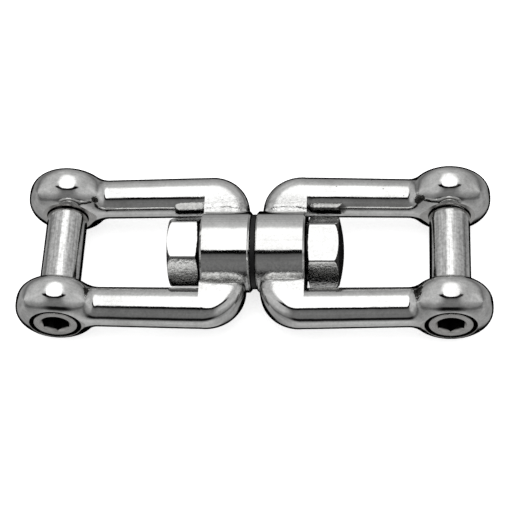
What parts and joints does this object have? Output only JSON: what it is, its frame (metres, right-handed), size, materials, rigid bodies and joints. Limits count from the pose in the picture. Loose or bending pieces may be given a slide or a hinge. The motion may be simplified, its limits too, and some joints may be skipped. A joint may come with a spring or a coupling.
{
  "type": "jaw and jaw swivel",
  "caption": "Stainless jaw and jaw swivel: two forged U-shaped jaws turn freely on one central bolt, each closed by a flush clevis pin with a hexagon socket.",
  "frame": {"origin": "on the swivel axis, midway between the two hubs, which is the centre of the whole part", "axes": "+X along the swivel axis towards the domed nut, +Y along the clevis pins from their socket heads to their threaded tips, +Z square to both; the part lies flat on its four eyes"},
  "size_m": [0.0922, 0.0334, 0.0162],
  "materials": {
    "polished_stainless": "mirror-polished stainless steel",
    "drawn_stainless": "drawn bar, lightly polished",
    "black_acetal": "turned acetal"
  },
  "bodies": {
    "left_jaw": {"jaw_left": "polished_stainless"},
    "right_jaw": {"jaw_right": "polished_stainless"},
    "bolt": {"swivel_bolt": "polished_stainless", "cap_nut": "polished_stainless"},
    "washer": {"thrust_washer": "black_acetal"},
    "left_pin": {"clevis_pin_left": "drawn_stainless"},
    "right_pin": {"clevis_pin_right": "drawn_stainless"}
  },
  "joints": [
    {"name": "swivel", "type": "hinge", "parent": "left_jaw", "child": "right_jaw", "pos_m": [0, 0, 0], "axis": [1, 0, 0], "continuous": true},
    {"name": "bolt_turn", "type": "hinge", "parent": "left_jaw", "child": "bolt", "pos_m": [0, 0, 0], "axis": [1, 0, 0], "continuous": true},
    {"name": "washer_turn", "type": "hinge", "parent": "bolt", "child": "washer", "pos_m": [0, 0, 0], "axis": [1, 0, 0], "continuous": true},
    {"name": "left_pin_withdraw", "type": "slide", "parent": "left_jaw", "child": "left_pin", "axis": [0, -1, 0], "range_m": [0, 0.034]},
    {"name": "right_pin_withdraw", "type": "slide", "parent": "right_jaw", "child": "right_pin", "axis": [0, -1, 0], "range_m": [0, 0.034]}
  ]
}
